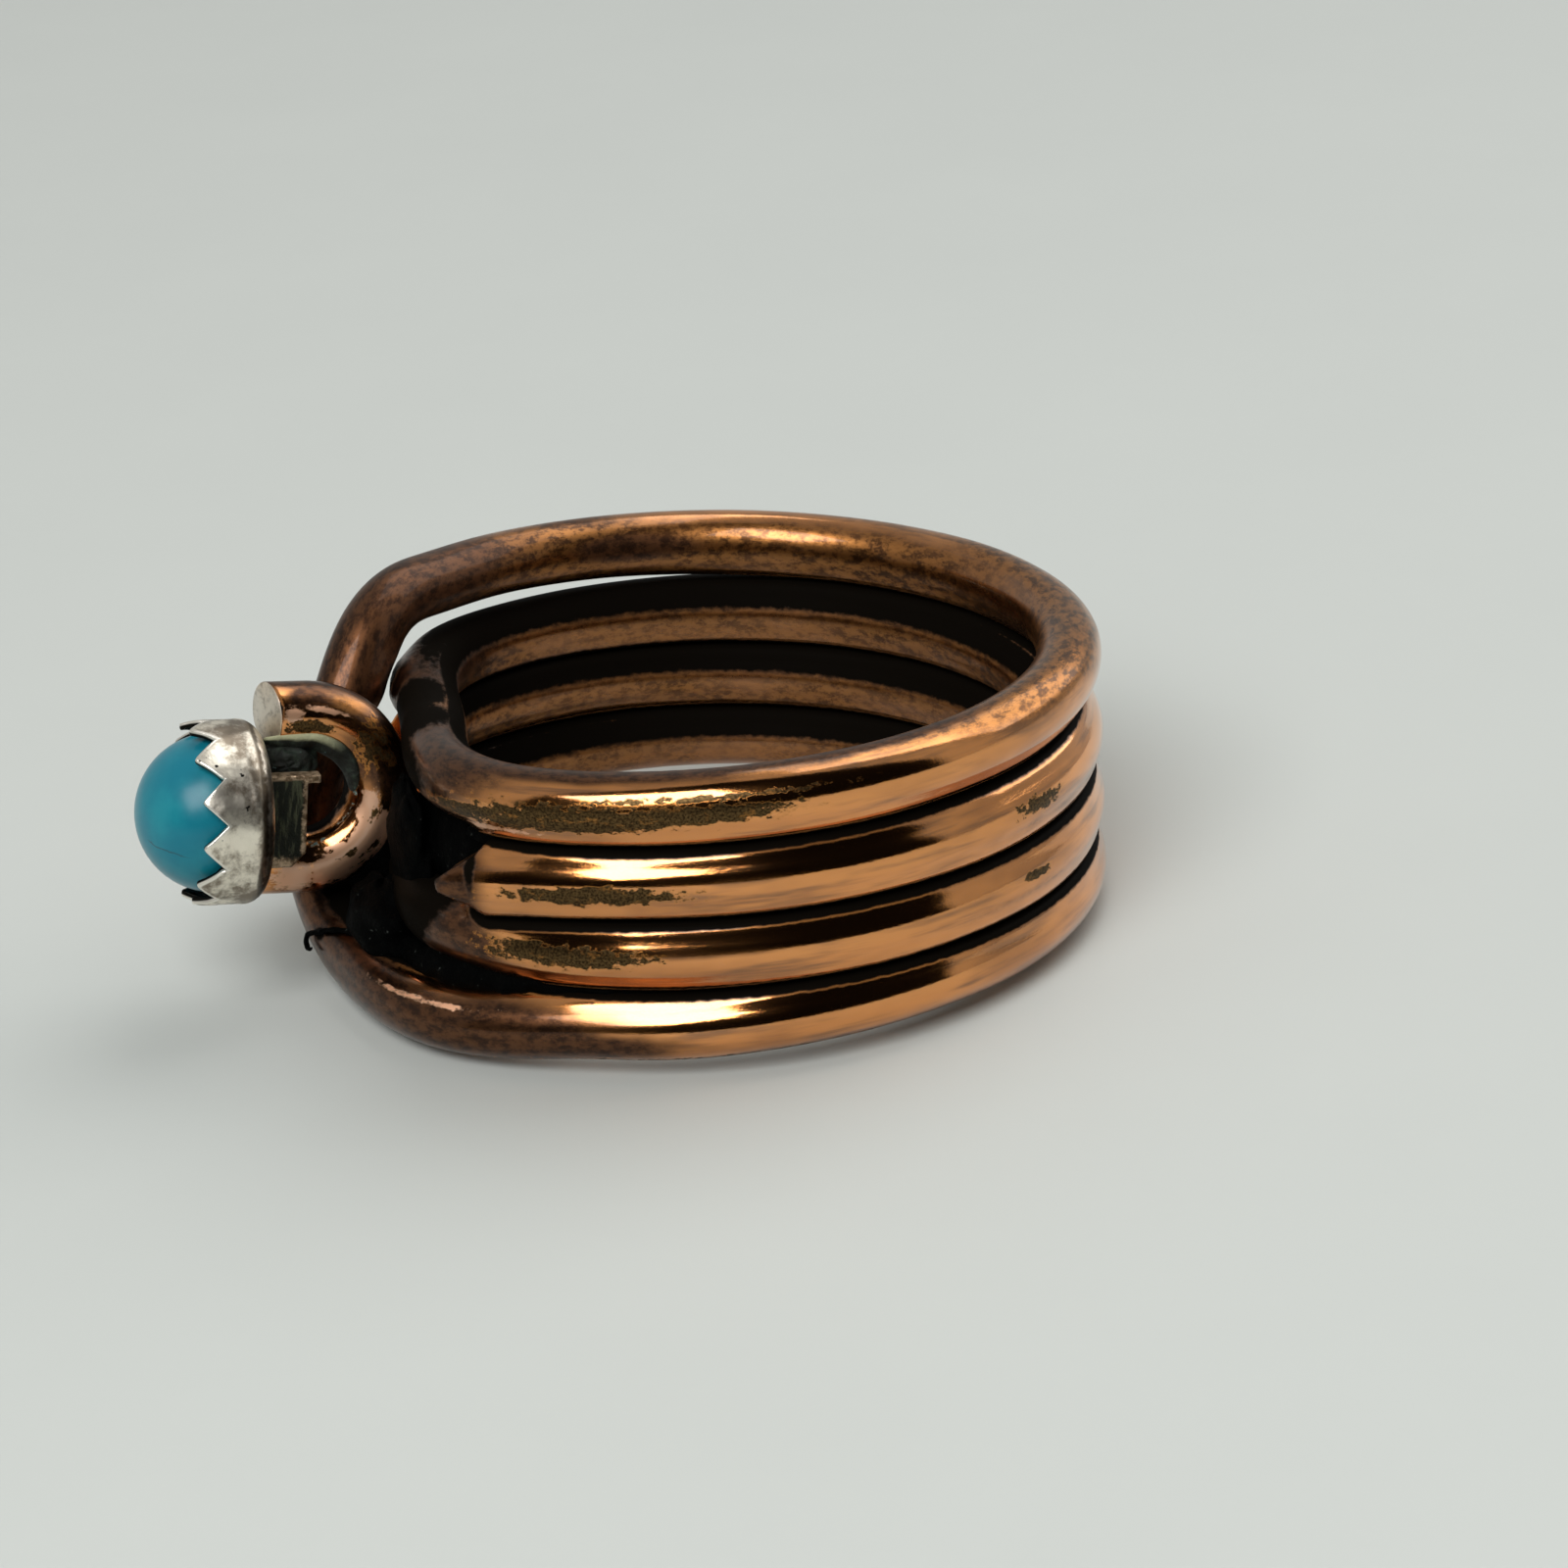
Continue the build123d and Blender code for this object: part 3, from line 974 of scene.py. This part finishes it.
def crust_lump(name, taken_to, middle, sizes, seed):
    """An ellipsoid with a lumpy surface: angles round and from pole to pole, and a radius that
    wavers by a fifth."""
    down = np.linspace(pole_gap, np.pi - pole_gap, lump_rows)[:, None]
    angle = circle(lump_columns)
    lumps = 1 + lump_waver * wavering(down * 6, 2 * angle, seed)
    ball = on_lathe(np.cos(down), np.sin(down), angle)[..., [1, 2, 0]]
    ends = np.array([(0, 0, 1), (0, 0, -1)]) * sizes * lumps[with_poles].mean(axis=1)[:, None]
    return closed_piece(name, taken_to, middle + ball * lumps[..., None] * sizes, middle + ends)


# middle and half sizes in mm, beside the ring's axis, and seed
flux_and_shade_fill += [crust_lump(*row) for row in (
    ("flux_and_shade_fill_pocket", on_table, (0.5, -11.1, 1.35), (2.3, 1.15, 1.35), 24),
    ("flux_and_shade_fill_wall", on_table, (1.1, -10.3, 3.6), (1.9, 0.55, 2.4), 25),
    ("flux_and_shade_fill_back", on_table, (-1.9, -10.8, 2.8), (0.85, 0.95, 2.2), 26),
)]

# %% [markdown]
# ## Verdigris in the loop, and a whisker
#
# Where the loop's upper leg meets the cup, a green-black crust has crept along the inner edge of
# the wire. It is one more band, this time carried along the loop. The whisker is a thin curl of
# burnt flux that a drop drew out behind it.

# %% Verdigris
band_count = 60
band_away = 0.98
band_along = np.linspace(-0.05, 5.2, band_count)
band_angle = np.radians(np.linspace(-126, -152, band_count))[:, None]


def along_loop(values):
    """The loop's own points or directions, read along the band."""
    return read_at(band_along, loop_along, values)


band_out, band_up = along_loop(loop_out), along_loop(loop_up)
turned_out = np.cos(band_angle) * band_out + np.sin(band_angle) * band_up
turned_by = np.cos(band_angle) * band_up - np.sin(band_angle) * band_out
green = [
    crust_band("verdigris_band", at_head, along_loop(loop_line) + band_away * turned_out,
               turned_by, turned_out, tall=0.46, wide=0.22, seed=33),
    crust_lump("verdigris_crust", at_head, (0.65, 1, -0.5), (1, 0.75, 0.5), seed=31),
]

# %% Whisker
# turn along the wire, angle round it, height above it in mm
whisker_rows = np.array([
    (1442, 84, -0.05), (1439, 68, 0.06), (1436.5, 52, 0.08), (1434.5, 36, 0.09),
    (1432.8, 22, 0.1), (1432, 10, 0.14), (1432.6, 2, 0.2), (1434, 1, 0.22), (1434.8, 8, 0.18),
])
whisker_step = 0.03
whisker_thick = 0.085
whisker_fade = 0.3
whisker_least = 0.05
whisker_waver = 0.5


def beside_strand(turns, degrees, height):
    """Points beside the coil's wire: at a turn angle, an angle round it and a height above it."""
    angle = np.radians(degrees)[:, None]
    out_there, up_there = read_at(turns, coil_turn, out), read_at(turns, coil_turn, up)
    away = np.cos(angle) * out_there + np.sin(angle) * up_there
    return strand_at(turns) + (wire_radius + height)[:, None] * away


curl_along, curl = smooth_path(beside_strand(*whisker_rows.T), whisker_step)
curl_out, curl_up = tube_directions(curl, curl * [1, 1, 0])[1:]
to_tip = (curl_along[-1] - curl_along) / whisker_fade + whisker_least
curl_size = whisker_thick * np.sqrt(np.clip(to_tip, whisker_least, 1))[:, None]
curl_size = curl_size * (1 + whisker_waver * wavering(curl_along[:, None] * 8, around, 35))
curl_across, curl_rise = curl_size * np.cos(around), curl_size * np.sin(around)
curl_grid = tube_grid(curl, curl_out, curl_up, curl_across, curl_rise)
flux_and_shade_fill.append(closed_piece("flux_whisker", on_table, curl_grid, curl[with_poles]))

# %% [markdown]
# ## Each piece stands for a node
#
# The CAD model knows the ring as four nodes. Each piece rides on the ring's one body and takes
# the place of its node. The crust stands for no node: it only lies on the wire.

# %% Pieces take their nodes' places
for piece, node, slot in (
    (coil_wire, "coil_wire", "coil_copper"),
    (head_loop, "head_loop", "loop_copper"),
    (silver_cup, "bezel_cup", "cup_silver"),
    (silver_tab, "bezel_cup", "cup_silver"),
    (stone, "turquoise_stone", "turquoise"),
):
    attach(piece, "root")
    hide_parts(node)
    print(piece.name, "stands for", node)
for piece in (*flux_and_shade_fill, *green):
    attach(piece, "root")

# %% [markdown]
# ## Shader helpers
#
# A finish is a small network of nodes, which could be joined by hand in the shader editor. Here
# a formula does it: a Value is what a node gives out, and each +, - or * written with it adds
# one Math node. A few more helpers add noise, a soft edge, or a mix of two colours.

# %% Node helpers


class Value:
    """What one node gives out. Each sign in a formula with it adds a Math node to its tree."""

    def __init__(self, output):
        self.output, self.tree = output, output.id_data

    def sum(self, operation, first, second=0.0):
        """The result of one sum of two values."""
        return add_node(self.tree, "Math", {0: first, 1: second}, operation=operation)

    __add__ = __radd__ = lambda self, other: self.sum("ADD", self, other)
    __mul__ = __rmul__ = lambda self, other: self.sum("MULTIPLY", self, other)
    __sub__ = lambda self, other: self.sum("SUBTRACT", self, other)
    __rsub__ = lambda self, other: self.sum("SUBTRACT", other, self)
    __abs__ = lambda self: self.sum("ABSOLUTE", self)


def fill(socket, value):
    """Links a Value to a socket, or sets its number, its vector or its red, green and blue."""
    if isinstance(value, Value):
        value.tree.links.new(value.output, socket)
    else:
        socket.default_value = (*value, 1) if socket.type == "RGBA" else value


def add_node(tree, kind, inputs, output=0, **options):
    """Adds one node, sets its options and sockets, and gives one of its outputs as a Value."""
    made = tree.nodes.new("ShaderNode" + kind)
    for option, value in options.items():
        setattr(made, option, value)
    for socket, value in inputs.items():
        fill(made.inputs[socket], value)
    return Value(made.outputs[output])


def highest(first, *others):
    """The highest of several values."""
    for other in others:
        first = first.sum("MAXIMUM", first, other)
    return first


def soft_edge(value, low, high):
    """0 at low, 1 at high, and a smooth step between."""
    ends = {"Value": value, "From Min": low, "From Max": high}
    return add_node(value.tree, "MapRange", ends, interpolation_type="SMOOTHSTEP")


def mixed(share, first, second):
    """A mix of two colours, with the given share of the second."""
    return add_node(share.tree, "Mix", {0: share, 6: first, 7: second}, 2, data_type="RGBA")


def cloud(vector, scale, detail, rough=0.6):
    """Noise over a vector, about 0 to 1."""
    return add_node(vector.tree, "TexNoise",
                    {"Vector": vector, "Scale": scale, "Detail": detail, "Roughness": rough})


def stretched(vector, scale):
    """A vector with each of its parts multiplied."""
    return add_node(vector.tree, "VectorMath", {0: vector, 1: scale}, operation="MULTIPLY")


def reach_along(vector, *way):
    """How far a vector reaches along a direction: their dot product."""
    return add_node(vector.tree, "VectorMath", {0: vector, 1: way}, "Value",
                    operation="DOT_PRODUCT")


def coordinates(owner, kind):
    """Texture coordinates of a material or of the world."""
    return add_node(owner.node_tree, "TexCoord", {}, kind)


def bumpy(height, strength, distance):
    """A height, on a scale of so many mm, turned into small slopes."""
    return add_node(height.tree, "Bump",
                    {"Height": height, "Strength": strength, "Distance": distance * mm})


def new_finish(name):
    """A new material, and a function that reads the marks of the piece that wears it."""
    material = bpy.data.materials.new(name)
    material.use_nodes = True

    def mark(attribute, output="Fac"):
        """One of the piece's own attributes."""
        return add_node(material.node_tree, "Attribute", {}, output, attribute_name=attribute)

    return material, mark


def shaded(material, sockets):
    """The material, with its main shader's sockets filled."""
    for socket, value in sockets.items():
        fill(material.node_tree.nodes["Principled BSDF"].inputs[socket], value)
    return material


# %% [markdown]
# ## Aged copper
#
# The real wire is warm metal under a thin wax, with brown streaks along it, mottled tops,
# ragged tarnish and black soot. Painted shade blackens the grooves, the upper halves of the
# inner strands and the pocket at the joint, and painted highlights brighten some pink patches.
# It could be painted on an image, but an image shows its pixels this near. So every mark says
# where a stain lies, noise roughens its edge, and the stains are laid over each other, the
# cleanest first. Whatever covers the metal also makes it duller and rougher.

# %% Copper
# near black: the colour of soot and of painted shade
black = (0.004, 0.003, 0.002)


def copper_finish(name):
    """Aged copper wire: each colour mixed over the last by its soft-edged mark plus noise, and a
    roughness that adds up each mark's share."""
    material, mark = new_finish(name)
    run = mark("run", "Vector")
    lengthways = stretched(run, (0.6, 1, 1))
    broad = cloud(stretched(run, (0.4, 1, 1)), 0.5, 3)
    streaks = cloud(stretched(run, (0.1, 1, 1)), 2.6, 3)
    speckle = cloud(lengthways, 4, 5, 0.65)
    grains = cloud(lengthways, 3.8, 8, 0.72)
    fine = cloud(run, 14, 3)
    ragged = (speckle - 0.5) * 1.5
    clouded = (broad - 0.5) * 0.9

    # warm metal, redder in clouds, browner in streaks and darker on the ring's inner side
    colour = mixed(soft_edge(broad, 0.40, 0.68), (0.80, 0.32, 0.085), (0.52, 0.20, 0.052))
    colour = mixed(soft_edge(streaks, 0.47, 0.73), colour, (0.33, 0.14, 0.05))
    colour = mixed(mark("inside") * 0.75, colour, (0.27, 0.108, 0.038))

    # golden mottling, then smooth brown oxide
    mottled = soft_edge(mark("mottle") + clouded, 0.25, 0.80)
    golden = mixed(soft_edge(grains, 0.42, 0.60), (0.38, 0.16, 0.045), (0.055, 0.024, 0.010))
    colour = mixed(mottled * 0.9, colour, golden)
    oxide = soft_edge(mark("oxide") + clouded, 0.25, 0.75)
    brown = mixed(soft_edge(grains, 0.40, 0.62), (0.14, 0.060, 0.027), (0.045, 0.021, 0.012))
    colour = mixed(oxide, colour, brown)

    # olive tarnish with a bright edge, and pink metal beside it: partly rubbed bare, partly a
    # painted highlight
    jagged = mark("tarnish") + ragged
    tarnished = soft_edge(jagged, 0.46, 0.56)
    olive = mixed(soft_edge(fine, 0.35, 0.65), (0.030, 0.018, 0.008), (0.12, 0.072, 0.028))
    olive = mixed(soft_edge(grains, 0.55, 0.68), olive, (0.34, 0.15, 0.04))
    edge = soft_edge(jagged, 0.36, 0.46) - tarnished
    colour = mixed(edge * 0.7, colour, (0.62, 0.25, 0.055))
    colour = mixed(tarnished, colour, olive)
    bare_and_highlight_share = soft_edge(mark("bare_and_highlight") + ragged, 0.45, 0.70) * (1 - tarnished)
    colour = mixed(bare_and_highlight_share, colour, (0.84, 0.49, 0.31))

    # painted shade in the grooves and on the inner strands' upper halves, soot with painted
    # shade near the joint, then verdigris, then the bright cut face
    groove_shade_share = soft_edge(mark("groove") + ragged * 0.15, 0.50, 0.72)
    soot_and_shade_share = soft_edge(mark("soot_and_shade") + ragged * 0.3, 0.25, 0.55)
    inner_shade_share = soft_edge(mark("inner_shade") + ragged * 0.3, 0.25, 0.70)
    shade_and_soot_cover = highest(groove_shade_share, soot_and_shade_share, inner_shade_share)
    colour = mixed(shade_and_soot_cover, colour, black)
    verdigris = soft_edge(mark("verdigris") + ragged, 0.5, 0.7)
    chalky = mixed(soft_edge(fine, 0.4, 0.6), (0.05, 0.09, 0.07), (0.20, 0.36, 0.36))
    colour = mixed(verdigris, colour, chalky)
    cut = mark("cut")
    sawn = mixed(soft_edge(grains, 0.45, 0.7), (0.74, 0.66, 0.55), (0.40, 0.34, 0.27))

    rough = (0.07 + streaks * 0.07 + tarnished * 0.25 + oxide * 0.18 + mottled * 0.14
             + bare_and_highlight_share * 0.34 + mark("inside") * 0.10 + highest(shade_and_soot_cover, verdigris, cut) * 0.35)
    height = speckle * 0.5 + streaks * 0.6 - tarnished * 0.25 + mottled * grains * 0.5
    # a thin film of wax makes the streaks of light whiter than the metal under it
    film = (0.6 - highest(oxide, mottled) * 0.5) * (1 - highest(shade_and_soot_cover, verdigris, tarnished))
    return shaded(material, {
        "Base Color": mixed(cut, colour, sawn),
        "Metallic": 1 - highest(verdigris, shade_and_soot_cover),
        "Specular IOR Level": 0.5 - shade_and_soot_cover * 0.49,
        "Coat Weight": film,
        "Coat IOR": 1.75,
        "Coat Roughness": 0.08,
        "Roughness": rough,
        "Normal": bumpy(height, 0.3, 0.03),
    })


for piece, name in ((coil_wire, "coil_copper"), (head_loop, "loop_copper")):
    piece.data.materials.append(copper_finish(name))
    print(name, "has", len(piece.data.materials[0].node_tree.nodes), "nodes")

# %% [markdown]
# ## Crusts
#
# Burnt flux is a black glassy foam, and verdigris a dull green one. The black one also serves as
# painted shade where it fills the pocket and the gaps between strands. Both are rough in every
# direction, so one plain noise gives colour, roughness and bump, and flecks lie in it.

# %% Crust


def crust_finish(name, dark, light, fleck, specular, edge_colour=None):
    """A rough crust in two shades, with a few pale flecks. The green band also has a paler edge
    near its start."""
    material, mark = new_finish(name)
    place = coordinates(material, "Object")
    lumps = cloud(place, 2600, 6, 0.7)
    colour = mixed(soft_edge(lumps, 0.45, 0.75), dark, light)
    colour = mixed(soft_edge(cloud(place, 5200, 3), 0.69, 0.74), colour, fleck)
    if edge_colour:
        upper = soft_edge(mark("edge") + lumps * 0.5, 0.75, 1.15)
        near = soft_edge(mark("length"), 2.6, 1.6)
        colour = mixed(upper * near, colour, edge_colour)
    return shaded(material, {
        "Base Color": colour,
        "Roughness": 0.4 + lumps * 0.4,
        "Specular IOR Level": specular,
        "Normal": bumpy(lumps, 1, 0.12),
    })


# black crust: burnt flux, and painted shade where it fills the pocket and the gaps
flux_and_shade_black = crust_finish("burnt_flux_and_shade", (0.0003, 0.0004, 0.0004), (0.0016, 0.0018, 0.0016),
                     (0.05, 0.055, 0.05), 0.02)
grown = crust_finish("verdigris", (0.006, 0.008, 0.005), (0.035, 0.052, 0.034),
                     (0.13, 0.23, 0.23), 0.4, (0.40, 0.40, 0.24))
for material, pieces in ((flux_and_shade_black, flux_and_shade_fill), (grown, green)):
    for piece in pieces:
        piece.data.materials.append(material)
    print(material.name, "on", len(pieces), "pieces")

# %% [markdown]
# ## Silver and turquoise
#
# The cup is hammered silver, worn bright on its teeth, with dark stains and a dark line of
# solder round its foot, and painted shade inside its rim. The tab was never polished. The stone
# is polished turquoise with one thin vein. Each is a plain material with noise in it; only the
# solder line, the worn edges, the painted shade and the vein have a place of their own, which
# their marks give.

# %% Silver


def silver_finish(name):
    """Worn silver: hammered, with darker stains, scratches and black specks, a dark line where
    the wall was soldered to the plate, bright teeth rubbed down over the stone, and painted
    shade, nearly black, inside the rim where the stone hides it."""
    material, mark = new_finish(name)
    place = coordinates(material, "Object")
    stain = cloud(place, 800, 6, 0.65)
    blot = cloud(place, 1900, 3)
    scratch = cloud(place, 5000, 3)
    dent = cloud(place, 1100, 1)
    uneven = (stain - 0.5) * 0.6
    colour = mixed(soft_edge(stain, 0.42, 0.60), (0.92, 0.85, 0.72), (0.25, 0.205, 0.155))
    rim = soft_edge(mark("below_rim") + uneven * 0.1, 0.13, 0.05)
    colour = mixed(rim, colour, (0.88, 0.83, 0.74))
    off_seam = abs(mark("level") + uneven - 0.42)
    colour = mixed(soft_edge(off_seam, 0.14, 0.04) * 0.85, colour, (0.05, 0.035, 0.02))
    colour = mixed(soft_edge(blot, 0.69, 0.72), colour, (0.02, 0.018, 0.015))
    # painted shade: the inside of the rim, and all that the stone hides, is nearly black
    colour = mixed(mark("stone_shade"), colour, (0.012, 0.011, 0.009))
    return shaded(material, {
        "Base Color": colour,
        "Metallic": 1,
        "Roughness": 0.22 + stain * 0.25,
        "Normal": bumpy(scratch * 0.12 + dent, 0.8, 0.1),
    })


def tab_finish(name):
    """Silver gone green-black, with upright streaks, worn to warm metal on its free edge, its
    lip and its foot. The place attribute holds each point's own x, y and depth in mm."""
    material, mark = new_finish(name)
    place = mark("place", "Vector")
    streak = cloud(stretched(place, (5, 0.8, 1)), 1.6, 4)
    blot = cloud(place, 4, 5, 0.7)
    uneven = (blot - 0.5) * 0.5
    dull = mixed(soft_edge(streak, 0.48, 0.66), (0.010, 0.012, 0.007), (0.075, 0.08, 0.045))
    warm = mixed(soft_edge(blot, 0.40, 0.62), (0.55, 0.40, 0.26), (0.15, 0.095, 0.05))
    out_there, up_there = reach_along(place, 1, 0, 0), reach_along(place, 0, 1, 0)
    free = soft_edge(out_there + uneven * 0.6, -1.10, -1.20)
    lip = soft_edge(up_there + uneven * 0.4, 1.30, 1.38)
    foot = soft_edge(up_there + uneven, -1.05, -1.25)
    worn = highest(free, lip, foot)
    return shaded(material, {
        "Base Color": mixed(worn, dull, warm),
        "Metallic": 0.6,
        "Roughness": 0.5 - worn * 0.2,
        "Normal": bumpy(blot, 0.7, 0.08),
    })


silver_cup.data.materials.append(silver_finish("cup_silver"))
silver_tab.data.materials.append(tab_finish("tab_silver"))
print("silver on the cup and the tab")

# %% Polished turquoise


def turquoise_finish(name):
    """Polished turquoise: blue-green with soft clouds and one thin dark vein, where the place
    attribute crosses a slanting line."""
    material, mark = new_finish(name)
    place = mark("place", "Vector")
    clouds = cloud(place, 0.5, 4)
    colour = mixed(soft_edge(clouds, 0.35, 0.7), (0.004, 0.165, 0.23), (0.012, 0.225, 0.28))
    wander = (cloud(place, 2, 3) - 0.5) * 0.25
    off_vein = abs(reach_along(place, 0, 1, -0.21) + 0.29 + wander)
    depth = reach_along(place, 0, 0, 1)
    near = soft_edge(depth, -2.1, -1.8) * soft_edge(depth, -0.8, -1.1)
    vein = soft_edge(off_vein, 0.035, 0.010) * near
    return shaded(material, {
        "Base Color": mixed(vein * 0.75, colour, (0.02, 0.05, 0.07)),
        "Roughness": 0.28,
        "Specular IOR Level": 0.32,
        "Normal": bumpy(clouds, 0.15, 0.02),
    })


stone.data.materials.append(turquoise_finish("turquoise"))
print("finishes:", [m.name for m in bpy.data.materials])

# %% [markdown]
# ## Floor and light
#
# Polished wire shows its surroundings more than its own colour. Two soft panels hang above the
# ring, one before it and one behind it: they make the pale streaks along each strand and the
# soft shadows. Behind the camera the room is dark, which makes the dark bands between the
# streaks, and elsewhere it is a plain grey. The floor's pale reflection makes the tan band
# along the lower side of each strand.

# %% Floor
floor_size = 3.0
half = floor_size / 2
floor_corners = [(-half, -half, 0), (half, -half, 0), (half, half, 0), (-half, half, 0)]
floor_mesh = bpy.data.meshes.new("floor")
floor_mesh.from_pydata(floor_corners, [], [(0, 1, 2, 3)])
floor = new_object("floor", floor_mesh)
table = new_finish("pale_table")[0]
grain = cloud(coordinates(table, "Object"), 60, 5)
table_colour = mixed(grain, (0.530, 0.554, 0.530), (0.560, 0.585, 0.558))
floor_mesh.materials.append(shaded(table, {"Base Color": table_colour, "Roughness": 0.6}))
print("floor", floor_size, "m wide")

# %% Light
panel_power = 2.1
nudge = 0.001
camera_right = camera_axes[:, 0]
camera_side = unit(camera_point * [1, 1, 0])
upwards = np.array([0, 0, 1])


def soft_light(name, place, size):
    """A rectangular area light at a place, in metres, turned to face the ring."""
    data = bpy.data.lights.new(name, "AREA")
    data.shape = "RECTANGLE"
    data.size, data.size_y = size
    data.energy = panel_power
    away = unit(place)
    side = unit(np.cross([*-camera_side[:2], nudge], away))
    light = new_object(name, data)
    light.matrix_world = placed(np.column_stack([side, np.cross(away, side), away]), place)


# shares of the way towards the camera, to its right and up
before = unit(0.92 * camera_side - 0.42 * camera_right + upwards)
behind_it = unit(-0.60 * camera_side + 0.75 * camera_right + upwards)
soft_light("panel_front", 0.5 * before, (0.325, 0.28))
soft_light("panel_back", 0.6 * behind_it, (0.70, 0.50))

# %% Room
world = bpy.data.worlds.new("room")
bpy.context.scene.world = world
world.use_nodes = True
flat_way = stretched(coordinates(world, "Generated"), (1, 1, 0))
level_way = add_node(world.node_tree, "VectorMath", {0: flat_way}, operation="NORMALIZE")
beside = soft_edge(reach_along(level_way, *camera_side), 0.47, 0.40)
room = mixed(beside, (0.004, 0.004, 0.004), (0.42, 0.424, 0.407))
fill(world.node_tree.nodes["Background"].inputs["Color"], room)
bpy.context.scene.view_settings.view_transform = "Standard"
print("the room is dark on the camera's side")
